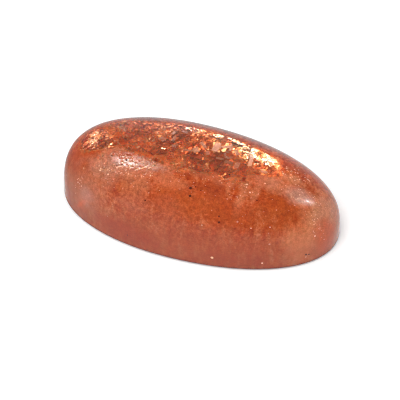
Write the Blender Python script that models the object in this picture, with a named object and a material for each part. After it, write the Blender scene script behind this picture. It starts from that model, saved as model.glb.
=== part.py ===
"""Oval sunstone cabochon: one polished stone with a flat back and a full, slightly sloping dome.

The frame is metres with +Z up. The origin is the middle of the flat back, +X runs along the
stone towards its lower end, and +Y runs across it.
"""

import math

import bmesh
import bpy

# Driving dimensions, in metres.
LENGTH = 0.0200
WIDTH = 0.0104
CENTRE_HEIGHT = 0.00515
BACK_BEVEL = 0.00012

# Form of the cut, as plain numbers.
RIM_POWER = 2.11  # 2 is a true ellipse, and more fills out its four quarters
DOME_POWER = 3.35  # 2 is half an ellipsoid, and more gives steep walls and a flatter crown
FALL_ALONG = 0.18  # share of its height that the dome loses from the middle to the +X end
FALL_ACROSS = 0.05  # the same from the middle to the +Y side

# Fineness of the mesh.
RIM_POINTS = 96
DOME_RINGS = 24
CREASE_ANGLE = math.radians(35)  # the bevel's two edges stay crisp, and all the rest is smooth

STONE_COLOUR = (0.50, 0.125, 0.062, 1.0)  # linear red, green, blue, alpha
STONE_ROUGHNESS = 0.12
STONE_IOR = 1.54


def clear_scene():
    for old in list(bpy.data.objects):
        bpy.data.objects.remove(old, do_unlink=True)


def rim_share(turn):
    """A point of the rim at an angle, as shares of the half length and the half width."""
    along, across = math.cos(turn), math.sin(turn)
    return (
        math.copysign(abs(along) ** (2 / RIM_POWER), along),
        math.copysign(abs(across) ** (2 / RIM_POWER), across),
    )


def dome_share(rise):
    """The dome's section at an angle above the rim: how wide it still is, and how high, as shares."""
    reach = (math.cos(rise) ** DOME_POWER + math.sin(rise) ** DOME_POWER) ** (-1 / DOME_POWER)
    return reach * math.cos(rise), reach * math.sin(rise)


def dome_height(x, y, height_share):
    """Height of a point of the dome. The crown slopes down towards +X and a little towards +Y."""
    slope = 1 - FALL_ALONG * x / (LENGTH / 2) - FALL_ACROSS * y / (WIDTH / 2)
    return BACK_BEVEL + (CENTRE_HEIGHT - BACK_BEVEL) * height_share * slope


def raise_cap(mesh, cap):
    """Extrudes a cap and returns the new one, which stands in the same place until it is moved."""
    made = bmesh.ops.extrude_face_region(mesh, geom=[cap])["geom"]
    return next(part for part in made if isinstance(part, bmesh.types.BMFace))


def polished_stone_material():
    material = bpy.data.materials.new("polished sunstone")
    material.use_nodes = True
    shader = material.node_tree.nodes["Principled BSDF"]
    shader.inputs["Base Color"].default_value = STONE_COLOUR
    shader.inputs["Roughness"].default_value = STONE_ROUGHNESS
    shader.inputs["Metallic"].default_value = 0.0
    shader.inputs["IOR"].default_value = STONE_IOR
    material.diffuse_color = STONE_COLOUR
    return material


def make_stone():
    mesh = bmesh.new()

    # The flat back, one face inside the bevel.
    outline = []
    for step in range(RIM_POINTS):
        along, across = rim_share(2 * math.pi * step / RIM_POINTS)
        x = along * (LENGTH / 2 - BACK_BEVEL)
        y = across * (WIDTH / 2 - BACK_BEVEL)
        outline.append(mesh.verts.new((x, y, 0.0)))
    back = mesh.faces.new(outline)

    # It stays as the floor, and a cap is raised from it: first by the bevel, out to the full rim.
    cap = raise_cap(mesh, back)
    full_length = LENGTH / (LENGTH - 2 * BACK_BEVEL)
    full_width = WIDTH / (WIDTH - 2 * BACK_BEVEL)
    for corner in cap.verts:
        corner.co = (corner.co.x * full_length, corner.co.y * full_width, BACK_BEVEL)

    # Then ring by ring up the dome, each one a little narrower, and poked to a point at the crown.
    width_before = 1.0
    for ring in range(1, DOME_RINGS):
        width, height = dome_share(math.pi / 2 * ring / DOME_RINGS)
        higher_cap = raise_cap(mesh, cap)
        mesh.faces.remove(cap)  # it would stay as a wall inside the stone
        cap = higher_cap
        for corner in cap.verts:
            x = corner.co.x * width / width_before
            y = corner.co.y * width / width_before
            corner.co = (x, y, dome_height(x, y, height))
        width_before = width
    crown = bmesh.ops.poke(mesh, faces=[cap])["verts"][0]
    crown.co = (0.0, 0.0, dome_height(0.0, 0.0, 1.0))

    bmesh.ops.recalc_face_normals(mesh, faces=mesh.faces)
    data = bpy.data.meshes.new("stone")
    mesh.to_mesh(data)
    mesh.free()
    data.shade_smooth()
    data.set_sharp_from_angle(angle=CREASE_ANGLE)
    data.materials.append(polished_stone_material())
    stone = bpy.data.objects.new("stone", data)
    bpy.context.scene.collection.objects.link(stone)


clear_scene()
make_stone()
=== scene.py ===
# Oval sunstone cabochon, photographed on white paper. Lengths are in metres.
import math
import random

import bpy
import numpy as np
from mathutils import Matrix, Vector, kdtree, noise


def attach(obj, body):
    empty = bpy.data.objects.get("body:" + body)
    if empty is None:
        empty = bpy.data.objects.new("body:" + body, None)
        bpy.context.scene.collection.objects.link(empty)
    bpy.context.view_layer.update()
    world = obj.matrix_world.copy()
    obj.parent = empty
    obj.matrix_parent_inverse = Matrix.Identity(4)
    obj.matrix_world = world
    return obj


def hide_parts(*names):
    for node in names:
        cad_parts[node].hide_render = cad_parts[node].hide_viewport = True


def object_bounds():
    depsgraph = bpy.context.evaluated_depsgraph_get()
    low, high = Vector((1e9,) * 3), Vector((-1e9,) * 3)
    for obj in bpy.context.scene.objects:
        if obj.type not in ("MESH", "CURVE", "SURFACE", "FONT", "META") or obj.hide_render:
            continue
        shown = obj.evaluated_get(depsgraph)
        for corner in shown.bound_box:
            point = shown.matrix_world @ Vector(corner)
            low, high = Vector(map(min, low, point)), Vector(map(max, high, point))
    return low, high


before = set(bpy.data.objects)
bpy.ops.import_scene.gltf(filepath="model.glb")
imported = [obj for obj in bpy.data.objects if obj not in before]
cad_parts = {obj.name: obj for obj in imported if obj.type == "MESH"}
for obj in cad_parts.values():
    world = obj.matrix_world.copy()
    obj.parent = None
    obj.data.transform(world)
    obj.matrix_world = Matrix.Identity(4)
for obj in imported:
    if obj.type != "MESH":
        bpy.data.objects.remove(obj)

cadLow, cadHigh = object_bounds()


# the form of the cut, as in the solid that it dresses
cut = {
    "halfLength": (cadHigh.x - cadLow.x) / 2,
    "halfWidth": (cadHigh.y - cadLow.y) / 2,
    "centreHeight": 0.00515,
    "footBevel": 0.00012,
    "rimPower": 2.11,    # 2 is a true ellipse
    "domePower": 3.35,   # more gives steeper walls and a flatter crown
    "fallAlong": 0.18,   # the crown slopes down towards +X
    "fallAcross": 0.05,  # and a little towards +Y
}


def deselectAll():
    if bpy.context.mode != "OBJECT":
        bpy.ops.object.mode_set(mode="OBJECT")
    bpy.ops.object.select_all(action="DESELECT")


def slopeAt(x, y):
    return 1 - cut["fallAlong"] * x / cut["halfLength"] - cut["fallAcross"] * y / cut["halfWidth"]


def ontoDome(direction):
    # slides a point of a round half ball to its place on the dome
    turn = math.atan2(direction.y, direction.x)
    rise = math.atan2(max(direction.z, 0.0), math.hypot(direction.x, direction.y))
    power = cut["domePower"]
    reach = (math.cos(rise) ** power + math.sin(rise) ** power) ** (-1 / power)
    wide, high = reach * math.cos(rise), reach * math.sin(rise)
    along, across = math.cos(turn), math.sin(turn)
    x = math.copysign(abs(along) ** (2 / cut["rimPower"]), along) * cut["halfLength"] * wide
    y = math.copysign(abs(across) ** (2 / cut["rimPower"]), across) * cut["halfWidth"] * wide
    z = cut["footBevel"] + (cut["centreHeight"] - cut["footBevel"]) * high * slopeAt(x, y)
    return Vector((x, y, z))


def rimShare(x, y):
    # 0 in the middle of the flat back, 1 at its rim
    power = cut["rimPower"]
    return (abs(x / cut["halfLength"]) ** power + abs(y / cut["halfWidth"]) ** power) ** (1 / power)


def domeTop(x, y):
    # height of the dome over a point of the flat back
    wide = min(rimShare(x, y), 1.0)
    high = (1 - wide ** cut["domePower"]) ** (1 / cut["domePower"])
    return cut["footBevel"] + (cut["centreHeight"] - cut["footBevel"]) * high * slopeAt(x, y)


# small holes that the polish left open, most of them where the crown turns down at the left
pits = {
    "seed": 5,
    "zones": [
        # centre, half sizes, how many, smallest and largest radius
        ((-0.0047, -0.0021), (0.0025, 0.0008), 160, 0.000030, 0.000095),
        ((-0.0060, -0.0030), (0.0010, 0.0004), 22, 0.000040, 0.000090),
        ((-0.0069, -0.0003), (0.0012, 0.0012), 24, 0.000030, 0.000075),
        ((0.0000, 0.0005), (0.0090, 0.0030), 30, 0.000025, 0.000055),
    ],
    "scratches": [        # both ends of each, and its radius
        ((-0.00350, -0.00240), (-0.00318, -0.00206), 0.000050),
        ((-0.00305, -0.00225), (-0.00280, -0.00196), 0.000045),
        ((-0.00390, -0.00262), (-0.00362, -0.00240), 0.000040),
        ((-0.00525, -0.00262), (-0.00485, -0.00245), 0.000045),
        ((-0.00500, -0.00222), (-0.00470, -0.00226), 0.000035),
        ((-0.00440, -0.00236), (-0.00428, -0.00250), 0.000045),
    ],
    "depth": 0.5,           # as a share of the radius
    "dirtyShare": 0.2,      # so many of them hold a little polish,
    "dirtyTint": 0.5,       # which makes them this dark
    "scratchDepth": 0.3,
    # the pale tint of the scratches is partly their painted sparkle
    "scratchTint": -0.7,
    "fineCuts": 4,          # the faces round a pit are cut this much finer,
    "fineMargin": 0.00009,  # and so far round it
}
# specks in the skin: place on the dome and radius, and zones as those of the pits; the pale ones are
# partly painted glints of the polish
specks = {
    "dark": [
        ((0.00016, -0.00295), 0.000115), ((0.00029, -0.00349), 0.000105),
        ((-0.00267, -0.00428), 0.000070), ((0.00261, -0.00437), 0.000090),
        ((0.00467, -0.00227), 0.000060), ((0.00843, -0.00294), 0.000085),
        ((0.00860, -0.00280), 0.000075), ((-0.00700, -0.00010), 0.000080),
        ((0.00045, -0.00275), 0.000060), ((0.00085, -0.00290), 0.000055),
        ((-0.00474, -0.00195), 0.000100), ((-0.00492, -0.00239), 0.000080),
        ((-0.00291, -0.00206), 0.000070), ((-0.00262, -0.00173), 0.000060),
        ((0.00253, -0.00411), 0.000065),
    ],
    # pale specks, partly painted glints
    "paleAndGlint": [
        ((0.00234, -0.00508), 0.000110), ((0.00571, -0.00437), 0.000070), ((0.00367, -0.00126), 0.000080),
        ((-0.00572, -0.00309), 0.000060), ((-0.00638, -0.00284), 0.000060),
        ((0.00405, -0.00185), 0.000070), ((0.00478, -0.00065), 0.000060), ((0.00371, -0.00150), 0.000050),
        ((0.00476, -0.00400), 0.000045), ((0.00596, -0.00350), 0.000045), ((0.00883, -0.00226), 0.000060),
    ],
    "paleSpeckAndGlintZones": [
        ((-0.0080, -0.0031), (0.0004, 0.0003), 22, 0.000030, 0.000060),
        ((0.0010, -0.0028), (0.0070, 0.0018), 34, 0.000025, 0.000045),
        ((0.0064, 0.0013), (0.0012, 0.0007), 46, 0.000030, 0.000075),
        ((0.0075, -0.0008), (0.0018, 0.0014), 44, 0.000030, 0.000060),
        ((-0.0048, -0.0030), (0.0022, 0.0009), 34, 0.000025, 0.000055),
        ((-0.0045, -0.0026), (0.0024, 0.0005), 48, 0.000030, 0.000065),
        ((0.0018, -0.0020), (0.0030, 0.0010), 50, 0.000028, 0.000055),
        ((0.0090, -0.0019), (0.0004, 0.0005), 14, 0.000030, 0.000060),
    ],
    "darkZones": [
        ((0.0012, -0.0024), (0.0034, 0.0012), 18, 0.000025, 0.000050),
        ((-0.0046, -0.0028), (0.0030, 0.0012), 10, 0.000025, 0.000045),
    ],
    "depth": 0.1,         # of the single ones, as a share of the radius
    "paleness": 0.6,      # tint of those in the zones, where 1 is that of the single ones
    "darkness": 0.7,
    "darkDepth": 0.2,
}


def scatter(draw, zones):
    for centre, halves, count, smallest, largest in zones:
        for number in range(count):
            away = math.sqrt(draw.random())
            turn = draw.uniform(0, math.tau)
            x = centre[0] + halves[0] * away * math.cos(turn)
            y = centre[1] + halves[1] * away * math.sin(turn)
            yield Vector((x, y, domeTop(x, y))), smallest + (largest - smallest) * draw.random() ** 2


def placeMarks():
    # every mark of the skin: place, radius, depth, and its tint from -1, pale, to 1, dark; pale tints are
    # partly painted glints
    draw = random.Random(pits["seed"])
    marks = []
    for tint, spots in ((1.0, specks["dark"]), (-1.0, specks["paleAndGlint"])):
        for (x, y), radius in spots:
            marks.append((Vector((x, y, domeTop(x, y))), radius, specks["depth"] * radius, tint))
    for place, radius in scatter(draw, pits["zones"]):
        tint = pits["dirtyTint"] if draw.random() < pits["dirtyShare"] else 0.0
        marks.append((place, radius, pits["depth"] * radius, tint))
    for start, end, radius in pits["scratches"]:
        steps = math.ceil(math.dist(start, end) / radius)
        for step in range(steps + 1):
            x, y = (a + (b - a) * step / steps for a, b in zip(start, end))
            place = Vector((x, y, domeTop(x, y)))
            marks.append((place, radius, pits["scratchDepth"] * radius, pits["scratchTint"]))
    for place, radius in scatter(draw, specks["paleSpeckAndGlintZones"]):
        marks.append((place, radius, 0.0, -specks["paleness"]))
    for place, radius in scatter(draw, specks["darkZones"]):
        marks.append((place, radius, specks["darkDepth"] * radius, specks["darkness"]))
    return marks


def treeOf(places):
    tree = kdtree.KDTree(len(places))
    for number, mark in enumerate(places):
        tree.insert(mark[0], number)
    tree.balance()
    return tree


polish = {
    "cuts": 96,           # along each side of the cube that the stone starts from
    "creaseAngle": 35,
    "waves": ((700, 0.000008), (2600, 0.0000035)),     # scale and height of the polish's swell
    "roughCentre": (-0.0048, -0.0019, 0.0053),         # the polish is poorest here
    "roughRadius": 0.0030,
    "roughWaves": ((4200, 0.0000045),),
    "startHeight": 0.00036,    # the foot below this keeps its form
    "markEdge": 8,        # more gives the marks a crisper edge
}


def makeStone(marks):
    deselectAll()
    bpy.ops.mesh.primitive_cube_add(size=2)
    stone = bpy.context.object
    stone.name = "polished_stone"
    bpy.ops.object.mode_set(mode="EDIT")
    bpy.ops.mesh.subdivide(number_cuts=polish["cuts"])
    bpy.ops.mesh.bisect(plane_co=(0, 0, 0), plane_no=(0, 0, 1), clear_inner=True)
    bpy.ops.mesh.select_mode(type="FACE")
    bpy.ops.mesh.select_all(action="DESELECT")
    bpy.ops.object.mode_set(mode="OBJECT")
    # finer faces where there will be pits
    tree = treeOf(marks)
    for face in stone.data.polygons:
        place, number, away = tree.find(ontoDome(face.center))
        face.select = away < marks[number][1] + pits["fineMargin"]
    bpy.ops.object.mode_set(mode="EDIT")
    bpy.ops.mesh.subdivide(number_cuts=pits["fineCuts"])
    bpy.ops.object.mode_set(mode="OBJECT")
    for corner in stone.data.vertices:
        corner.co = ontoDome(corner.co)
    # the open rim is turned in by a small bevel and closed by the flat back
    bpy.ops.object.mode_set(mode="EDIT")
    bpy.ops.mesh.select_all(action="SELECT")
    bpy.ops.mesh.region_to_loop()
    bpy.ops.mesh.extrude_region_move()
    bevel = cut["footBevel"]
    bpy.ops.transform.resize(value=(1 - bevel / cut["halfLength"], 1 - bevel / cut["halfWidth"], 1))
    bpy.ops.transform.translate(value=(0, 0, -bevel))
    bpy.ops.mesh.edge_face_add()
    bpy.ops.mesh.select_all(action="SELECT")
    bpy.ops.mesh.normals_make_consistent(inside=False)
    bpy.ops.object.mode_set(mode="OBJECT")
    bpy.ops.object.shade_smooth_by_angle(angle=math.radians(polish["creaseAngle"]))
    return stone


def wearPolish(stone, marks):
    # hand polish is never quite even, which breaks up the reflections
    mesh = stone.data
    normals = [corner.normal.copy() for corner in mesh.vertices]
    largest = max(mark[1] for mark in marks)
    tree = treeOf(marks)
    tints = []
    for corner, normal in zip(mesh.vertices, normals):
        sink = 0.0
        tint = 0.0
        if corner.co.z > polish["startHeight"]:
            for scale, height in polish["waves"]:
                sink += (1 - noise.noise(corner.co * scale)) * height
            rough = 1 - (corner.co - Vector(polish["roughCentre"])).length / polish["roughRadius"]
            for scale, height in polish["roughWaves"]:
                sink += max(rough, 0) * (1 - noise.noise(corner.co * scale)) * height
            for place, number, away in tree.find_range(corner.co, largest):
                radius, depth, markTint = marks[number][1:]
                share = away / radius
                if share < 1:
                    sink += depth * (1 - share ** 2) ** 2
                    tint += markTint * (1 - share ** polish["markEdge"])
        tints.append(min(max(tint, -1), 1))
        corner.co -= normal * sink
    # the speck tint: dark specks above zero, and below zero pale marks that are partly painted glints
    mesh.attributes.new("speck", "FLOAT", "POINT").data.foreach_set("value", tints)


def setStops(ramp, stops):
    marks = ramp.elements
    while len(marks) < len(stops):
        marks.new(0.5)
    for mark, (position, colour) in zip(marks, stops):
        mark.position = position
        mark.color = (*colour, 1)


class Wiring:
    # short ways to lay out a material's nodes
    def __init__(self, name):
        self.material = bpy.data.materials.new(name)
        self.material.use_nodes = True
        self.tree = self.material.node_tree
        self.shader = self.tree.nodes["Principled BSDF"]
        self.place = self.add("TexCoord").outputs["Object"]

    def add(self, kind):
        return self.tree.nodes.new("ShaderNode" + kind)

    def join(self, source, target):
        if isinstance(source, (int, float)):
            target.default_value = source
        elif isinstance(source, tuple):
            target.default_value = (*source, 1)
        else:
            self.tree.links.new(source, target)

    def mapped(self, centre=(0, 0, 0), radii=(1, 1, 1), turn=0.0):
        # the place, measured from a centre in units of the radii
        node = self.add("Mapping")
        node.vector_type = "TEXTURE"
        node.inputs["Location"].default_value = centre
        node.inputs["Rotation"].default_value = (0, 0, turn)
        node.inputs["Scale"].default_value = radii
        self.join(self.place, node.inputs["Vector"])
        return node.outputs["Vector"]

    def cloud(self, scale, detail=4.0, rough=0.55, bend=0.0, where=None):
        node = self.add("TexNoise")
        node.inputs["Scale"].default_value = scale
        node.inputs["Detail"].default_value = detail
        node.inputs["Roughness"].default_value = rough
        node.inputs["Distortion"].default_value = bend
        self.join(where or self.place, node.inputs["Vector"])
        return node.outputs["Fac"]

    def cells(self, scale):
        # distance to the nearest of the scattered points, and a random number of its cell
        node = self.add("TexVoronoi")
        node.inputs["Scale"].default_value = scale
        self.join(self.place, node.inputs["Vector"])
        return node.outputs["Distance"], self.parts(node.outputs["Color"])[0]

    def parts(self, source):
        node = self.add("SeparateXYZ")
        self.join(source, node.inputs[0])
        return node.outputs

    def attribute(self, name):
        node = self.add("Attribute")
        node.attribute_name = name
        return node.outputs["Fac"]

    def maths(self, kind, first, second=0.0):
        node = self.add("Math")
        node.operation = kind
        self.join(first, node.inputs[0])
        self.join(second, node.inputs[1])
        return node.outputs[0]

    def span(self, value, low, high, start=0.0, end=1.0):
        node = self.add("MapRange")
        node.interpolation_type = "SMOOTHSTEP"
        self.join(value, node.inputs["Value"])
        for name, number in zip(("From Min", "From Max", "To Min", "To Max"), (low, high, start, end)):
            node.inputs[name].default_value = number
        return node.outputs["Result"]

    def distance(self, where):
        node = self.add("VectorMath")
        node.operation = "LENGTH"
        self.join(where, node.inputs[0])
        return node.outputs["Value"]

    def colours(self, value, stops):
        node = self.add("ValToRGB")
        self.join(value, node.inputs["Fac"])
        setStops(node.color_ramp, stops)
        return node.outputs["Color"]

    def blend(self, share, first, second, kind="MIX"):
        node = self.add("MixRGB")
        node.blend_type = kind
        self.join(share, node.inputs["Fac"])
        self.join(first, node.inputs["Color1"])
        self.join(second, node.inputs["Color2"])
        return node.outputs["Color"]


crystal = {
    "windows": [                  # the clear parts of the crown: centre and radii
        ((-0.0010, 0.0009, 0.0056), (0.0086, 0.0031, 0.0045)),
        ((-0.0076, -0.0004, 0.0050), (0.0015, 0.0016, 0.0017)),
    ],
    "windowEdge": (0.66, 1.06),
    # the windows end more sharply at the far side: centre, radii and turn of this edge
    "band": ((-0.0003, -0.0008, 0.0050), (0.0089, 0.0038, 0.0100), -2),
    "bandEdge": (0.97, 1.04),
    "bandSwell": 0.12,
    "swell": (600, 5, 1.0),       # scale, detail and strength of what makes its edge uneven
    "fray": 0.3,                  # and how much the grain does
    "clearShare": 0.95,     # how much of the light goes through, in the window
    "hazeShare": 0.45,      # and outside it
    "edgeColour": (0.96, 0.360, 0.140),     # where the haze begins
    "edgeStart": (0.0, 0.2),
    "tintEdge": (0.2, 0.45),                # it takes the colour of the body soon,
    "milkEdge": (0.06, 0.52),               # and hides what is under it a little later
    "clearTint": (0.98, 0.54, 0.30),
    "tints": [              # where the clear part is paler or duller: centre, radii, colour; two are partly a painted highlight
        ((-0.0048, 0.0010, 0.0051), (0.0034, 0.0022, 0.0016), (0.95, 0.595, 0.375)),
        # this one and the next: paler over the flash and the far sparkle line, whitening their glints,
        # partly a painted highlight
        ((0.0040, 0.0020, 0.0047), (0.0015, 0.0010, 0.0012), (0.99, 0.74, 0.57)),
        ((0.0018, 0.0027, 0.0047), (0.0032, 0.0006, 0.0012), (0.99, 0.74, 0.56)),
        ((0.0010, 0.0014, 0.0050), (0.0014, 0.0008, 0.0008), (0.98, 0.59, 0.37)),
        ((-0.0047, 0.0022, 0.0051), (0.0026, 0.0012, 0.0010), (0.94, 0.74, 0.64)),
        ((-0.0022, 0.0026, 0.0050), (0.0014, 0.0006, 0.0010), (0.98, 0.86, 0.80)),
        ((-0.0066, 0.0008, 0.0051), (0.0012, 0.0012, 0.0012), (0.88, 0.73, 0.64)),
        ((-0.0077, -0.0002, 0.0049), (0.0016, 0.0014, 0.0014), (0.98, 0.62, 0.44)),
    ],
    "tintReach": (1.3, 0.5),      # from none to all of a tint, in its radii
    "roughness": 0.07,
    "ior": 1.54,
    "glowDepth": 0.0008,
    "glowRadius": (1.0, 0.4, 0.25),
    "absorbed": (0.92, 0.41, 0.02),
    "absorbDensity": 300,
    "body": [
        (0.38, (0.57, 0.070, 0.009)),
        (0.46, (0.64, 0.110, 0.019)),
        (0.54, (0.70, 0.155, 0.039)),
        (0.62, (0.79, 0.245, 0.090)),
    ],
    "streaks": (0.00045, 0.0016, 0.0018),    # their size along the three axes,
    "streakCloud": (5, 0.6, 0.3),            # and their detail, roughness and bend
    "grain": (3800, 3, 0.65),                # scale, detail and roughness
    "mix": (0.55, 0.45),                     # how much the streaks and the grain colour the body
    "grainLight": (0.3, 0.7, 0.80, 1.20),    # from its low to its high values, how light the body is
    "dust": (9000, 1),
    "dustLight": (-0.2, 0.2, 0.84, 1.16),
    "calm": (0.0012, 0.0044, 0.35, 1.0),     # grain and dust are weaker at the foot than on the crown,
    "calmEnd": (-0.0088, -0.0058, 0.55, 1.0),    # and weaker at the left end
    "veilSwell": 1.6,
    "veilReach": (1.35, 0.35),
    "flecks": 1300,                          # then for each kind: share of the cells, size, colour
    # pale flecks, partly painted glints of the polish
    "paleFlecksAndGlints": (0.7, 1.0, 0.10, (0.92, 0.42, 0.23)),
    "darkFlecks": (0.14, 0.0, 0.08, (0.10, 0.020, 0.008)),
    "darkSpeck": (0.060, 0.012, 0.004),
    # colour of the pale marks, partly painted glints
    "paleSpeckAndGlint": (0.95, 0.620, 0.430),
    "shade": (-0.0005, 0.0046, 0.88, 1.0),   # it is a little darker from the foot up to this height
    "foot": (0.00006, 0.00032, 0.95),        # heights between which a painted contact shadow darkens it more, and how much
    "footShadowColour": (0.15, 0.014, 0.005),
}
# milky and deep coloured places in the stone, and painted light: a painted reflection along the far rim,
# painted glows round the two highlights and painted shade low at the front; centre, radii, colour,
# strength
veilsAndPaintedLight = [
    ((-0.0075, -0.0032, 0.0030), (0.0020, 0.0018, 0.0026), (0.71, 0.228, 0.113), 0.9),
    ((-0.0079, -0.0018, 0.0043), (0.0014, 0.0012, 0.0014), (0.62, 0.110, 0.034), 0.7),
    ((-0.0073, -0.0036, 0.0027), (0.0007, 0.0008, 0.0009), (0.78, 0.360, 0.260), 0.6),
    ((-0.0055, -0.0034, 0.0045), (0.0007, 0.0007, 0.0009), (0.70, 0.200, 0.090), 0.7),
    # painted glow of the left highlight, over the paler colour of the stone there
    ((-0.0052, -0.0023, 0.0049), (0.0030, 0.0010, 0.0012), (0.76, 0.335, 0.205), 0.8),
    ((-0.0033, -0.0034, 0.0049), (0.0012, 0.0010, 0.0010), (0.80, 0.270, 0.120), 0.7),
    ((-0.0013, -0.0029, 0.0052), (0.0014, 0.0006, 0.0008), (0.82, 0.250, 0.100), 0.8),
    ((0.0016, -0.0026, 0.0049), (0.0011, 0.0008, 0.0009), (0.55, 0.095, 0.018), 0.8),
    ((0.0020, -0.0039, 0.0046), (0.0045, 0.0011, 0.0012), (0.68, 0.130, 0.018), 0.8),
    ((0.0062, -0.0022, 0.0040), (0.0020, 0.0013, 0.0012), (0.63, 0.118, 0.015), 0.8),
    ((0.0036, -0.0021, 0.0047), (0.0004, 0.0020, 0.0014), (0.84, 0.270, 0.110), 0.8),
    ((0.0026, -0.0018, 0.0049), (0.0002, 0.0009, 0.0014), (0.84, 0.280, 0.115), 0.7),
    ((0.0044, -0.0017, 0.0047), (0.0003, 0.0009, 0.0014), (0.85, 0.290, 0.125), 0.7),
    ((0.0090, -0.0010, 0.0030), (0.0016, 0.0022, 0.0022), (0.94, 0.370, 0.178), 0.8),
    # painted glow of the right highlight
    ((0.0072, -0.0005, 0.0040), (0.0013, 0.0009, 0.0009), (0.85, 0.430, 0.300), 0.8),
    # painted sparkle at the right end of the left highlight
    ((-0.0030, -0.0018, 0.0054), (0.0016, 0.0006, 0.0009), (0.86, 0.360, 0.210), 0.8),
    ((0.0010, -0.0014, 0.0050), (0.0032, 0.0007, 0.0008), (0.69, 0.215, 0.096), 0.6),
    ((-0.0058, -0.0009, 0.0052), (0.0012, 0.0007, 0.0009), (0.80, 0.320, 0.180), 0.7),
    ((0.0052, -0.0003, 0.0046), (0.0018, 0.0008, 0.0008), (0.90, 0.360, 0.190), 0.75),
    ((0.0063, 0.0007, 0.0042), (0.0012, 0.0006, 0.0008), (0.90, 0.370, 0.180), 0.75),
    ((0.0090, -0.0004, 0.0030), (0.0010, 0.0014, 0.0014), (0.86, 0.350, 0.200), 0.7),
    # painted reflection of the room along the far rim
    ((0.0000, 0.0046, 0.0036), (0.0120, 0.0017, 0.0034), (0.37, 0.180, 0.155), 0.95),
    # painted shade along the low front
    ((0.0005, -0.0050, 0.0013), (0.0070, 0.0018, 0.0024), (0.66, 0.115, 0.026), 0.50),
    # painted reflection at the far left end of the rim
    ((-0.0085, 0.0028, 0.0030), (0.0024, 0.0022, 0.0030), (0.42, 0.170, 0.130), 0.8),
    ((0.0080, -0.0030, 0.0020), (0.0016, 0.0012, 0.0018), (0.92, 0.300, 0.115), 0.75),
    ((0.0095, -0.0017, 0.0016), (0.0009, 0.0013, 0.0014), (0.82, 0.140, 0.030), 0.8),
    # this one and the next: painted shade low at the front
    ((-0.0042, -0.0046, 0.0012), (0.0024, 0.0012, 0.0013), (0.62, 0.075, 0.008), 0.7),
    ((0.0036, -0.0050, 0.0007), (0.0030, 0.0010, 0.0008), (0.60, 0.080, 0.014), 0.5),
    # painted reflection along the far rim at the left
    ((-0.0050, 0.0030, 0.0046), (0.0024, 0.0012, 0.0014), (0.36, 0.190, 0.170), 0.9),
    ((-0.0034, -0.0044, 0.0040), (0.0014, 0.0006, 0.0009), (0.70, 0.195, 0.085), 0.6),
    ((-0.0012, -0.0043, 0.0043), (0.0014, 0.0006, 0.0008), (0.67, 0.155, 0.055), 0.6),
    ((0.0035, -0.0037, 0.0042), (0.0014, 0.0007, 0.0008), (0.62, 0.095, 0.012), 0.6),
]


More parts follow.
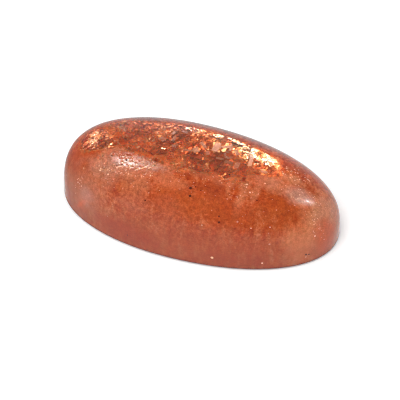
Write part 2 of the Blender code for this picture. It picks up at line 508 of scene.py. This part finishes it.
def crystalMaterial():
    w = Wiring("translucent feldspar")
    shader = w.shader
    scale, detail, strength = crystal["swell"]
    swell = w.maths("SUBTRACT", w.cloud(scale, detail), 0.5)
    grain = w.cloud(*crystal["grain"])
    height = w.parts(w.place)[2]
    calm = w.span(height, *crystal["calm"])
    calm = w.maths("MULTIPLY", calm, w.span(w.parts(w.place)[0], *crystal["calmEnd"]))
    grain = w.maths("ADD", w.maths("MULTIPLY", w.maths("SUBTRACT", grain, 0.5), calm), 0.5)
    away = 9.0    # further out than any place of the stone
    for centre, radii in crystal["windows"]:
        away = w.maths("MINIMUM", away, w.distance(w.mapped(centre, radii)))
    away = w.maths("ADD", away, w.maths("MULTIPLY", swell, strength))
    fray = w.maths("MULTIPLY", w.maths("SUBTRACT", grain, 0.5), crystal["fray"])
    haze = w.span(w.maths("ADD", away, fray), *crystal["windowEdge"])
    centre, radii, turn = crystal["band"]
    beyond = w.distance(w.mapped(centre, radii, math.radians(turn)))
    beyond = w.maths("ADD", beyond, w.maths("MULTIPLY", swell, crystal["bandSwell"]))
    haze = w.maths("MAXIMUM", haze, w.span(beyond, *crystal["bandEdge"]))
    # the body: streaks and grain, then the milky and deep places
    streaks = w.cloud(1.0, *crystal["streakCloud"], w.mapped(radii=crystal["streaks"]))
    streakShare, grainShare = crystal["mix"]
    mottle = w.maths("MULTIPLY", streaks, streakShare)
    mottle = w.maths("ADD", mottle, w.maths("MULTIPLY", grain, grainShare))
    colour = w.colours(mottle, crystal["body"])
    # the stone's milky and deep places, with the painted reflection, glows and shade
    for centre, radii, veil, veilShare in veilsAndPaintedLight:
        reach = w.distance(w.mapped(centre, radii))
        reach = w.maths("ADD", reach, w.maths("MULTIPLY", swell, crystal["veilSwell"]))
        colour = w.blend(w.span(reach, *crystal["veilReach"], 0.0, veilShare), colour, veil)
    dust = w.maths("MULTIPLY", w.maths("SUBTRACT", w.cloud(*crystal["dust"]), 0.5), calm)
    light = w.span(grain, *crystal["grainLight"])
    light = w.maths("MULTIPLY", light, w.span(dust, *crystal["dustLight"]))
    light = w.maths("MULTIPLY", light, w.span(height, *crystal["shade"]))
    tint = w.add("CombineXYZ")
    for socket in tint.inputs:
        w.join(light, socket)
    colour = w.blend(1.0, colour, tint.outputs[0], "MULTIPLY")
    # single flecks, the pale ones partly painted glints, and the painted contact shadow at the foot
    away, lot = w.cells(crystal["flecks"])
    for first, last, largest, fleck in (crystal["paleFlecksAndGlints"], crystal["darkFlecks"]):
        size = w.span(lot, first, last, 0.0, largest)
        colour = w.blend(w.maths("LESS_THAN", away, size), colour, fleck)
    # painted contact shadow: the colour darkens low at the foot
    low, high, strength = crystal["foot"]
    colour = w.blend(w.span(height, low, high, strength, 0.0), colour, crystal["footShadowColour"])
    clear = crystal["clearTint"]
    for centre, radii, tone in crystal["tints"]:
        clear = w.blend(w.span(w.distance(w.mapped(centre, radii)), *crystal["tintReach"]), clear, tone)
    clear = w.blend(w.span(haze, *crystal["edgeStart"]), clear, crystal["edgeColour"])
    colour = w.blend(w.span(haze, *crystal["tintEdge"]), clear, colour)
    # dark specks, and pale marks that are partly painted glints
    speck = w.attribute("speck")
    dark = w.span(speck, 0, 1)
    paleAndGlint = w.span(speck, 0, -1)
    colour = w.blend(dark, colour, crystal["darkSpeck"])
    colour = w.blend(paleAndGlint, colour, crystal["paleSpeckAndGlint"])
    w.join(colour, shader.inputs["Base Color"])
    through = w.span(haze, *crystal["milkEdge"], crystal["clearShare"], crystal["hazeShare"])
    skin = w.maths("SUBTRACT", 1.0, w.maths("MAXIMUM", dark, paleAndGlint))
    w.join(w.maths("MULTIPLY", through, skin), shader.inputs["Transmission Weight"])
    shader.inputs["Roughness"].default_value = crystal["roughness"]
    shader.inputs["IOR"].default_value = crystal["ior"]
    shader.inputs["Subsurface Weight"].default_value = 1.0
    shader.inputs["Subsurface Radius"].default_value = crystal["glowRadius"]
    shader.inputs["Subsurface Scale"].default_value = crystal["glowDepth"]
    inside = w.add("VolumeAbsorption")
    inside.inputs["Color"].default_value = (*crystal["absorbed"], 1)
    inside.inputs["Density"].default_value = crystal["absorbDensity"]
    w.join(inside.outputs[0], w.tree.nodes["Material Output"].inputs["Volume"])
    return w.material


marks = placeMarks()
stone = makeStone(marks)
wearPolish(stone, marks)
stone.data.materials.append(crystalMaterial())
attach(stone, "root")
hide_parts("stone")
print("stone:", sum(len(face.vertices) - 2 for face in stone.data.polygons), "triangles")


# the plates of the glitter lie nearly flat in the stone, as they grew in one crystal
glitter = {
    "lean": (0.0, 0.020),
    "spread": 0.032,
    "thickness": 0.000008,
    "along": 82,                  # where their long sides point, in degrees,
    "stray": 9,                   # and how far they stray from it
    "ragged": 0.2,                # how uneven their outlines are
    "drift": (-0.15, 0.48),       # deeper plates lie further back, so that a group shows as one
    "widthShare": (0.35, 0.85),   # their width, as a share of their length
    "clumps": 1500,               # scale of the thicker and thinner places,
    "clumpPull": 1.6,             # how strongly they gather there,
    "clumpTone": 0.3,             # and how much lighter they are there
    "patches": 900,               # scale of the lighter and darker places,
    "patchStretch": 0.6,          # which are longer across the stone
    "floor": 0.0002,              # no plate lies lower than this
    "cover": 0.00003,             # the least stone over a plate
    "openness": 1.2,              # the stone is clear over the open plates, so far out from their middle
    "openDepth": 0.0004,          # and so deep
}
# lighter and darker places of the glitter, some of them painted light: centre, half sizes, how much
toneAndPaintedLightShifts = [
    ((-0.0080, -0.0004), (0.0018, 0.0016), 0.55),
    ((-0.0058, 0.0000), (0.0014, 0.0012), -0.05),
    ((-0.0012, 0.0015), (0.0010, 0.0006), -0.30),
    ((-0.0026, 0.0006), (0.0015, 0.0010), -0.28),
    ((0.0002, 0.0002), (0.0010, 0.0006), -0.30),
    # painted light: lightens plates that lie in the shade of the haze at the window's near edge
    ((0.0007, -0.0006), (0.0012, 0.0005), 0.17),
    ((0.0030, 0.0022), (0.0010, 0.0006), -0.20),
    ((-0.0042, 0.0023), (0.0009, 0.0004), -0.25),
    ((-0.0064, 0.0018), (0.0009, 0.0005), -0.15),
    ((-0.0050, 0.0016), (0.0020, 0.0012), 0.06),
    # these three: painted light, lightening plates that lie in the shade of the haze at the window's near
    # edge
    ((0.0021, -0.0013), (0.0018, 0.0008), 0.30),
    ((-0.0026, -0.0014), (0.0014, 0.0007), 0.35),
    ((-0.0004, -0.0012), (0.0018, 0.0008), 0.30),
    ((0.0040, 0.0012), (0.0026, 0.0012), 0.25),
    ((0.0050, -0.0002), (0.0020, 0.0008), 0.20),
]
# plates that show their whole outline: centre, half sizes along Y and along X, tone
openPlates = [
    ((0.00066, 0.00148), (0.00046, 0.00022), 0.95),
    ((0.00124, 0.00176), (0.00042, 0.00011), 1.00),
    ((0.00160, 0.00184), (0.00036, 0.00010), 0.60),
    ((-0.00055, 0.00060), (0.00026, 0.00022), 0.60),
    ((-0.00105, 0.00035), (0.00034, 0.00009), 0.20),
    ((-0.00022, 0.00130), (0.00032, 0.00012), 0.40),
    ((0.00030, 0.00060), (0.00018, 0.00013), 0.20),
    ((0.00193, 0.00030), (0.00030, 0.00014), 0.00),
    ((0.00250, 0.00025), (0.00030, 0.00017), 0.10),
    ((0.00325, 0.00110), (0.00050, 0.00014), 1.00),
    ((0.00436, 0.00040), (0.00026, 0.00015), 0.80),
    ((-0.00230, 0.00110), (0.00026, 0.00012), 0.10),
    ((0.00215, 0.00150), (0.00026, 0.00014), 0.60),
]
# every kind of plate: how many, how many sides they have, and where they lie, along a line of some
# width, or in an oval with a turn and a fading border. Then come their sizes, where more crowding makes
# more small ones, their depths under the skin, their tones, how patchy and how gathered they are, and
# how they lean
plateKinds = {
    "open_plates": {
        "sides": 4, "spots": openPlates, "grow": 1.40,
        "stray": 3, "ragged": 0.06, "cover": 0.00004,
        "lean": (0.008, -0.012), "spread": 0.010, "look": "cleavage",
    },
    "open_plate_edges": {
        "sides": 4, "spots": openPlates, "grow": 1.56,
        "stray": 3, "ragged": 0.08, "cover": 0.00007,
        "lean": (-0.002, -0.060), "spread": 0.02, "look": "bright",
    },
    "near_flakes": {
        "count": 60, "sides": 4, "line": ((0.0010, -0.0020), (0.0023, -0.0012)),
        "width": 0.00022, "sizes": (0.00004, 0.00011), "crowding": 1.2, "depths": (0.00004, 0.0002),
        "tones": (0.5, 1.1), "clumping": 0.3, "lean": (-0.009, -0.121), "spread": 0.03,
        "look": "bright",
    },
    "dark_specks": {
        "count": 30, "sides": 5, "centre": (0.0004, 0.0004), "halves": (0.0080, 0.0030),
        "sizes": (0.00002, 0.00006), "crowding": 1.4, "depths": (0.00003, 0.00008),
        "tones": (0.0, 1.0), "clumping": 0.6, "look": "dark",
    },
    "bed_plates": {
        "count": 8500, "sides": 4, "centre": (-0.0008, 0.0004), "halves": (0.0094, 0.0037),
        "sizes": (0.00012, 0.00034), "crowding": 1.4, "depths": (0.0004, 0.0012),
        "tones": (0.15, 0.75), "patchy": 1.2, "clumping": 0.0, "look": "deep",
    },
    "flake_plates": {
        "count": 3600, "sides": 4, "centre": (-0.0008, 0.0004), "halves": (0.0092, 0.0031),
        "sizes": (0.00006, 0.00021), "crowding": 1.6, "depths": (0.00012, 0.0006),
        "tones": (0.05, 0.9), "patchy": 1.0, "clumping": 0.5, "look": "bright",
    },
    "dust_plates": {
        "count": 3600, "sides": 5, "centre": (-0.0006, 0.0000), "halves": (0.0093, 0.0036),
        "sizes": (0.00003, 0.00009), "crowding": 1.6, "depths": (0.00005, 0.0004),
        "tones": (0.15, 1.0), "patchy": 0.6, "clumping": 0.8, "spread": 0.042, "look": "bright",
    },
    "far_sparkle_left": {
        "count": 80, "sides": 5, "line": ((-0.0019, 0.0026), (-0.0006, 0.0028), (0.0005, 0.0028)),
        "width": 0.00013, "sizes": (0.00003, 0.00010), "crowding": 1.2, "depths": (0.00004, 0.0002),
        "tones": (0.5, 1.0), "clumping": 0.6, "lean": (-0.016, 0.026), "spread": 0.02, "look": "white",
    },
    "far_sparkle": {
        "count": 190, "sides": 5, "line": ((0.0003, 0.0028), (0.0011, 0.0028), (0.0020, 0.0026)),
        "width": 0.00011, "sizes": (0.00003, 0.00010), "crowding": 1.2, "depths": (0.00004, 0.0002),
        "tones": (0.45, 1.1), "clumping": 0.7, "lean": (-0.014, 0.022), "spread": 0.02, "look": "white",
    },
    "far_sparkle_right": {
        "count": 98, "sides": 5, "line": ((0.0019, 0.0026), (0.0028, 0.0025), (0.0036, 0.0023)),
        "width": 0.00015, "sizes": (0.00003, 0.00011), "crowding": 1.2, "depths": (0.00004, 0.0002),
        "tones": (0.3, 1.1), "clumping": 0.8, "lean": (0.004, -0.010), "spread": 0.022, "look": "white",
    },
    "far_crack": {
        "count": 110, "sides": 5, "line": ((0.0003, 0.0023), (0.0013, 0.0024), (0.0023, 0.0023)),
        "width": 0.00002, "sizes": (0.00005, 0.00010), "crowding": 1.0, "depths": (0.00004, 0.00007),
        "tones": (0.0, 0.4), "clumping": 1.0, "look": "dark",
    },
    "white_net": {
        "count": 200, "sides": 4, "centre": (0.0030, 0.0016), "halves": (0.0013, 0.0008), "turn": -15,
        "sizes": (0.00004, 0.00014), "crowding": 1.2, "depths": (0.00005, 0.0003),
        "tones": (0.3, 1.0), "clumping": 0.6, "lean": (-0.003, -0.05), "spread": 0.045, "look": "white",
    },
    "flash_rim": {
        "count": 150, "sides": 5, "line": ((0.0034, 0.0023), (0.0044, 0.0020), (0.0053, 0.0015)),
        "width": 0.00014, "sizes": (0.00004, 0.00013), "crowding": 1.2, "depths": (0.00004, 0.0002),
        "tones": (0.5, 1.2), "clumping": 0.6, "lean": (0.010, -0.040), "spread": 0.02, "look": "white",
    },
    "flash_core": {
        "count": 290, "sides": 5, "centre": (0.0042, 0.0019), "halves": (0.0013, 0.0007), "turn": -24,
        "sizes": (0.00008, 0.00022), "crowding": 1.2, "depths": (0.00005, 0.0003),
        "tones": (0.30, 1.40), "clumping": 0.6, "lean": (0.006, -0.052), "spread": 0.022,
        "look": "white",
    },
    "flash_tail": {
        "count": 300, "sides": 4, "centre": (0.0053, 0.0012), "halves": (0.0011, 0.0005), "turn": -26,
        "sizes": (0.00004, 0.00014), "crowding": 1.2, "depths": (0.00005, 0.0004),
        "tones": (0.4, 0.95), "clumping": 0.5, "lean": (0.028, -0.065), "spread": 0.03,
        "look": "bright",
    },
    "flash_tail_white": {
        "count": 110, "sides": 5, "centre": (0.0052, 0.0014), "halves": (0.0009, 0.0004), "turn": -26,
        "sizes": (0.00003, 0.00012), "crowding": 1.2, "depths": (0.00004, 0.0003),
        "tones": (0.3, 1.0), "clumping": 0.7, "lean": (0.020, -0.066), "spread": 0.025, "look": "white",
    },
    "flash_glow": {
        "count": 380, "sides": 4, "centre": (0.0049, 0.0005), "halves": (0.0019, 0.0006), "turn": -20,
        "sizes": (0.00004, 0.00015), "crowding": 1.2, "depths": (0.00004, 0.0003),
        "tones": (0.25, 0.75), "clumping": 0.5, "lean": (0.020, -0.10), "spread": 0.06,
        "look": "bright",
    },
    "flash_specks": {
        "count": 40, "sides": 5, "centre": (0.0040, 0.0015), "halves": (0.0013, 0.0007), "turn": -24,
        "sizes": (0.00003, 0.00007), "crowding": 1.0, "depths": (0.00003, 0.00006),
        "tones": (0.0, 0.6), "clumping": 0.3, "look": "dark",
    },
    "left_glitter": {
        "count": 600, "sides": 4, "centre": (-0.0079, -0.0004), "halves": (0.0015, 0.0013), "turn": 20,
        "fade": 0.35, "sizes": (0.00004, 0.00010), "crowding": 1.2, "depths": (0.00008, 0.0004),
        "tones": (0.15, 0.75), "clumping": 0.6, "lean": (-0.235, -0.145), "spread": 0.08,
        "look": "bright",
    },
    "left_white": {
        "count": 280, "sides": 5, "centre": (-0.0080, -0.0005), "halves": (0.0011, 0.0012), "turn": 20,
        "fade": 0.25, "sizes": (0.00003, 0.00010), "crowding": 1.4, "depths": (0.00004, 0.0002),
        "tones": (0.28, 1.0), "clumping": 0.8, "lean": (-0.235, -0.140), "spread": 0.05,
        "look": "white",
    },
    "left_upper": {
        "count": 170, "sides": 4, "centre": (-0.0070, -0.0001), "halves": (0.0008, 0.0006), "turn": 40,
        "fade": 0.3, "sizes": (0.00004, 0.00011), "crowding": 1.2, "depths": (0.00005, 0.0003),
        "tones": (0.45, 1.1), "clumping": 0.6, "lean": (-0.150, -0.100), "spread": 0.06,
        "look": "bright",
    },
    "left_dashes": {
        "count": 5, "sides": 4, "centre": (-0.0062, -0.0009), "halves": (0.00022, 0.00016),
        "sizes": (0.00006, 0.00012), "crowding": 1.0, "depths": (0.00004, 0.00008),
        "tones": (0.9, 1.1), "clumping": 0.0, "lean": (-0.115, -0.13), "spread": 0.008, "look": "white",
    },
    "cleavage_loose": {
        "count": 12, "sides": 4, "centre": (0.0002, 0.0010), "halves": (0.0044, 0.0012),
        "sizes": (0.00014, 0.00035), "crowding": 1.3, "depths": (0.00003, 0.0002),
        "tones": (0.0, 0.35), "clumping": 0.4, "lean": (0.01, -0.01), "look": "cleavage",
    },
    "lone_glint": {
        "count": 4, "sides": 4, "centre": (-0.00270, -0.00018), "halves": (0.00024, 0.00003),
        "sizes": (0.00005, 0.00008), "crowding": 1.0, "depths": (0.00004, 0.00008),
        "tones": (1.0, 1.1), "clumping": 0.0, "lean": (-0.018, -0.099), "spread": 0.004,
        "look": "white",
    },
}
plateLooks = {
    "deep": {"metal": 0.10, "roughness": 0.35, "tones": [
        (0.00, (0.64, 0.110, 0.022)),
        (0.30, (0.88, 0.180, 0.045)),
        (0.60, (1.00, 0.260, 0.080)),
        (1.00, (1.00, 0.430, 0.180)),
    ]},
    "bright": {"metal": 0.50, "roughness": 0.16, "tones": [
        (0.00, (0.42, 0.085, 0.025)),
        (0.30, (0.70, 0.180, 0.062)),
        (0.60, (0.94, 0.310, 0.120)),
        (0.80, (0.99, 0.450, 0.220)),
        (1.00, (1.00, 0.640, 0.420)),
    ]},
    "white": {"metal": 0.65, "roughness": 0.10, "tones": [
        (0.30, (0.90, 0.280, 0.090)),
        (0.60, (0.98, 0.660, 0.420)),
        (1.00, (1.00, 0.960, 0.900)),
    ]},
    "cleavage": {"metal": 0.25, "roughness": 0.30, "tones": [
        (0.00, (0.50, 0.250, 0.240)),
        (1.00, (1.00, 0.820, 0.880)),
    ]},
    "dark": {"metal": 0.0, "roughness": 0.50, "tones": [
        (0.00, (0.10, 0.016, 0.005)),
        (1.00, (0.34, 0.050, 0.014)),
    ]},
}


def plateModel(sides):
    # a thin plate with its sides, not its corners, along the axes
    deselectAll()
    bpy.ops.mesh.primitive_cylinder_add(vertices=sides, radius=1, depth=1)
    model = bpy.context.object
    bpy.ops.object.mode_set(mode="EDIT")
    bpy.ops.transform.rotate(value=math.pi / sides, orient_axis="Z", center_override=(0, 0, 0))
    bpy.ops.object.mode_set(mode="OBJECT")
    points = np.array([corner.co for corner in model.data.vertices])
    faces = [tuple(face.vertices) for face in model.data.polygons]
    bpy.data.meshes.remove(model.data)
    return points, faces


def plateSpot(kind, draw):
    # a random place on a kind's line, or within its oval
    if "line" in kind:
        stretch = draw.random() * (len(kind["line"]) - 1)
        number = int(stretch)
        start, end = (Vector(point) for point in kind["line"][number:number + 2])
        spot = start.lerp(end, stretch - number)
        spot += (end - start).orthogonal().normalized() * draw.gauss(0, kind["width"])
        return spot.x, spot.y
    away = math.sqrt(draw.random())
    if "fade" in kind:
        away *= draw.uniform(1 - kind["fade"], 1 + kind["fade"])    # a soft border
    angle = draw.uniform(0, math.tau)
    along = kind["halves"][0] * away * math.cos(angle)
    across = kind["halves"][1] * away * math.sin(angle)
    turn = math.radians(kind.get("turn", 0))
    x = kind["centre"][0] + along * math.cos(turn) - across * math.sin(turn)
    y = kind["centre"][1] + along * math.sin(turn) + across * math.cos(turn)
    return x, y


def toneAndPaintedLightShift(x, y):
    shift = 0.0
    for centre, halves, amount in toneAndPaintedLightShifts:
        away = math.hypot((x - centre[0]) / halves[0], (y - centre[1]) / halves[1])
        shift += amount * math.exp(-away * away)
    return shift


def overOpenPlate(x, y):
    reach = glitter["openness"]
    return any(abs(x - spot[0]) < reach * halves[1] and abs(y - spot[1]) < reach * halves[0]
               for spot, halves, tone in openPlates)


def scatterPlates(kind, draw):
    # where the plates of a kind lie: place, half sizes and tone of each
    found = []
    for (x, y), (along, across), tone in kind.get("spots", []):
        along, across = along * kind["grow"], across * kind["grow"]
        roof = min(domeTop(x + i * across, y + j * along) for i in (-1, 1) for j in (-1, 1))
        found.append(((x, y, roof - kind["cover"]), (along, across), tone))
    if found:
        return found
    while len(found) < kind["count"]:
        x, y = plateSpot(kind, draw)
        thick = 0.5 + noise.noise(Vector((x, y, 0)) * glitter["clumps"])
        if draw.random() > 1 - kind["clumping"] * (1 - min(max(thick, 0), 1)) * glitter["clumpPull"]:
            continue
        low, high = kind["sizes"]
        size = low + (high - low) * draw.random() ** kind["crowding"]
        depth = draw.uniform(*kind["depths"])
        light = noise.noise(Vector((x, y * glitter["patchStretch"], depth)) * glitter["patches"])
        tone = draw.uniform(*kind["tones"]) + glitter["clumpTone"] * (thick - 0.5)
        # tone patches, with painted light where plates lie in shade
        tone += kind.get("patchy", 0) * (light + toneAndPaintedLightShift(x, y))
        x += glitter["drift"][0] * depth
        y += glitter["drift"][1] * depth
        z = domeTop(x, y) - depth
        if depth < glitter["openDepth"] and overOpenPlate(x, y):
            continue
        roof = min(domeTop(x + i * size, y + j * size) for i in (-1, 1) for j in (-1, 1))
        if z < glitter["floor"] or roof - z < glitter["cover"]:
            continue
        found.append(((x, y, z), (size, size * draw.uniform(*glitter["widthShare"])), tone))
    return found


def makePlates(name, kind):
    draw = random.Random(name)
    points, faces = plateModel(kind["sides"])
    lean = kind.get("lean", glitter["lean"])
    spread = kind.get("spread", glitter["spread"])
    allPoints = []
    allFaces = []
    tones = []
    for number, (place, sizes, tone) in enumerate(scatterPlates(kind, draw)):
        normal = Vector((draw.gauss(lean[0], spread), draw.gauss(lean[1], spread), 1))
        tilt = np.array(normal.to_track_quat("Z", "Y").to_matrix())
        spin = math.radians(draw.gauss(glitter["along"], kind.get("stray", glitter["stray"])))
        c, s = math.cos(spin), math.sin(spin)
        local = points * (*sizes, glitter["thickness"])
        ragged = kind.get("ragged", glitter["ragged"])
        stretch = [1 + draw.uniform(-ragged, ragged) for side in range(kind["sides"])]
        local[:, :2] *= np.repeat(stretch, 2)[:, None]
        x, y, z = local.T
        local = np.column_stack([x * c - y * s, x * s + y * c, z])
        allPoints.append(local @ tilt.T + place)
        allFaces += [tuple(corner + number * len(points) for corner in face) for face in faces]
        tones += [tone] * len(points)
    mesh = bpy.data.meshes.new(name)
    mesh.from_pydata(np.concatenate(allPoints).tolist(), [], allFaces)
    mesh.attributes.new("tone", "FLOAT", "POINT").data.foreach_set("value", tones)
    plates = bpy.data.objects.new(name, mesh)
    bpy.context.scene.collection.objects.link(plates)
    return plates


def plateMaterial(name, look):
    w = Wiring(name + " copper plates")
    w.join(w.colours(w.attribute("tone"), look["tones"]), w.shader.inputs["Base Color"])
    w.shader.inputs["Metallic"].default_value = look["metal"]
    w.shader.inputs["Roughness"].default_value = look["roughness"]
    return w.material


plateMaterials = {name: plateMaterial(name, look) for name, look in plateLooks.items()}
for name, kind in plateKinds.items():
    plates = makePlates(name, kind)
    plates.data.materials.append(plateMaterials[kind["look"]])
    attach(plates, "root")
    print(name + ":", len(plates.data.polygons), "faces")


studio = {
    "paper": (0.97, 0.97, 0.97),
    "paperRoughness": 0.8,
    "paperGlow": 0.07,     # the paper lies on a faintly lit table
    "paperSize": 0.6,
    "gap": 0.00003,        # the paper lies this far under the stone's flat back
    # the paper sweeps up all round into a dim room: sine of the elevation, and the light from there
    "sweep": ((0.00, 0.86), (0.07, 0.58), (0.30, 0.46), (0.50, 0.26), (0.65, 0.20)),
    "darkSide": (-0.95, 0.31, 0.0),     # the room is darker to the left
    "darkFrom": 0.35,
    "darkShare": 0.6,
    "lampGap": 0.004,      # between the steps of a lamp, which would hide each other in one plane
}
# the two small lamps make the highlights, and the broad one only lights the paper and the haze
# each lamp is a stack of ever smaller ones, for a soft edge: share of the size, and radiance
lamps = {
    "left": {"direction": (-0.361, 0.341, 0.868), "longWay": (-0.546, -0.835, 0.063), "distance": 0.5,
             "size": (0.34, 0.12), "mirrored": True,
             "steps": ((1.0, 1.1), (0.84, 1.3), (0.68, 1.7), (0.52, 2.4), (0.36, 4.0), (0.2, 10.0))},
    "right": {"direction": (0.487, 0.595, 0.639), "longWay": (0.641, 0.233, -0.732), "distance": 0.5,
              "size": (0.19, 0.13), "mirrored": True,
              "steps": ((1.0, 1.0), (0.75, 1.2), (0.5, 2.0), (0.3, 4.0), (0.15, 12.0))},
    "fill": {"direction": (-0.10, -0.34, 0.93), "longWay": (1, 0, 0), "distance": 0.6,
             "size": (0.9, 0.9), "mirrored": False, "steps": ((1.0, 2.9),)},
}


def makeFloor():
    deselectAll()
    bpy.ops.mesh.primitive_plane_add(size=studio["paperSize"])
    floor = bpy.context.object
    floor.name = "paper"
    for corner in floor.data.vertices:
        corner.co.z = -studio["gap"]
    w = Wiring("white paper")
    w.shader.inputs["Base Color"].default_value = (*studio["paper"], 1)
    w.shader.inputs["Roughness"].default_value = studio["paperRoughness"]
    w.shader.inputs["Emission Color"].default_value = (*studio["paper"], 1)
    w.shader.inputs["Emission Strength"].default_value = studio["paperGlow"]
    floor.data.materials.append(w.material)
    floor.visible_glossy = False    # the stone's gloss mirrors the dim room all round


def makeRoom():
    world = bpy.data.worlds.new("studio")
    bpy.context.scene.world = world
    world.use_nodes = True
    nodes, links = world.node_tree.nodes, world.node_tree.links
    place = nodes.new("ShaderNodeTexCoord")
    parts = nodes.new("ShaderNodeSeparateXYZ")
    ramp = nodes.new("ShaderNodeValToRGB")
    links.new(place.outputs["Generated"], parts.inputs[0])
    links.new(parts.outputs["Z"], ramp.inputs[0])
    turned = nodes.new("ShaderNodeVectorMath")
    turned.operation = "DOT_PRODUCT"
    turned.inputs[1].default_value = studio["darkSide"]
    links.new(place.outputs["Generated"], turned.inputs[0])
    dim = nodes.new("ShaderNodeMapRange")
    dim.interpolation_type = "SMOOTHSTEP"
    dim.inputs["From Min"].default_value = studio["darkFrom"]
    dim.inputs["To Min"].default_value = 1.0
    dim.inputs["To Max"].default_value = 1 - studio["darkShare"]
    links.new(turned.outputs["Value"], dim.inputs["Value"])
    links.new(dim.outputs["Result"], nodes["Background"].inputs["Strength"])
    links.new(ramp.outputs[0], nodes["Background"].inputs["Color"])
    ramp.color_ramp.interpolation = "EASE"
    setStops(ramp.color_ramp, [(height, (light, light, light)) for height, light in studio["sweep"]])


def makeLamp(name, lamp):
    towards = Vector(lamp["direction"]).normalized()
    across = towards.cross(Vector(lamp["longWay"])).normalized()
    for number, (share, radiance) in enumerate(lamp["steps"]):
        light = bpy.data.lights.new(name, "AREA")
        light.shape = "ELLIPSE"
        light.size, light.size_y = (side * share for side in lamp["size"])
        light.energy = radiance * math.pi * math.pi / 4 * light.size * light.size_y
        holder = bpy.data.objects.new(name, light)
        holder.matrix_world = Matrix((across.cross(towards), across, towards)).transposed().to_4x4()
        holder.location = towards * (lamp["distance"] - number * studio["lampGap"])
        holder.visible_glossy = lamp["mirrored"]
        holder.visible_diffuse = not lamp["mirrored"]
        bpy.context.scene.collection.objects.link(holder)


camera = {
    "elevation": 46.0,
    "azimuth": 16.95,
    "distance": 0.1503,
    "frameWidth": 0.02823,     # what the frame's width takes in at that distance
    "framePixels": 400,
    "originPixel": (200.92, 208.74),
}


def makeCamera():
    lens = bpy.data.cameras.new("camera")
    holder = bpy.data.objects.new("camera", lens)
    bpy.context.scene.collection.objects.link(holder)
    bpy.context.scene.camera = holder
    e, a = math.radians(camera["elevation"]), math.radians(camera["azimuth"])
    back = Vector((math.sin(a) * math.cos(e), -math.cos(a) * math.cos(e), math.sin(e)))
    right = Vector((math.cos(a), math.sin(a), 0))
    pixel = camera["frameWidth"] / camera["framePixels"]
    half = camera["framePixels"] / 2
    aim = right * (half - camera["originPixel"][0]) * pixel
    aim += back.cross(right) * (camera["originPixel"][1] - half) * pixel
    holder.location = aim + back * camera["distance"]
    holder.rotation_mode = "QUATERNION"
    holder.rotation_quaternion = back.to_track_quat("Z", "Y")
    lens.lens = lens.sensor_width * camera["distance"] / camera["frameWidth"]
    lens.clip_start, lens.clip_end = 0.01, 10


makeFloor()
makeRoom()
for name, lamp in lamps.items():
    makeLamp(name, lamp)
makeCamera()
view = bpy.context.scene.view_settings
view.view_transform = "Standard"
cycles = bpy.context.scene.cycles
cycles.filter_width = 1.1
cycles.max_bounces = 32
cycles.transmission_bounces = 24
cycles.glossy_bounces = 12
cycles.diffuse_bounces = 6
print("studio: floor, room, lamps and camera")
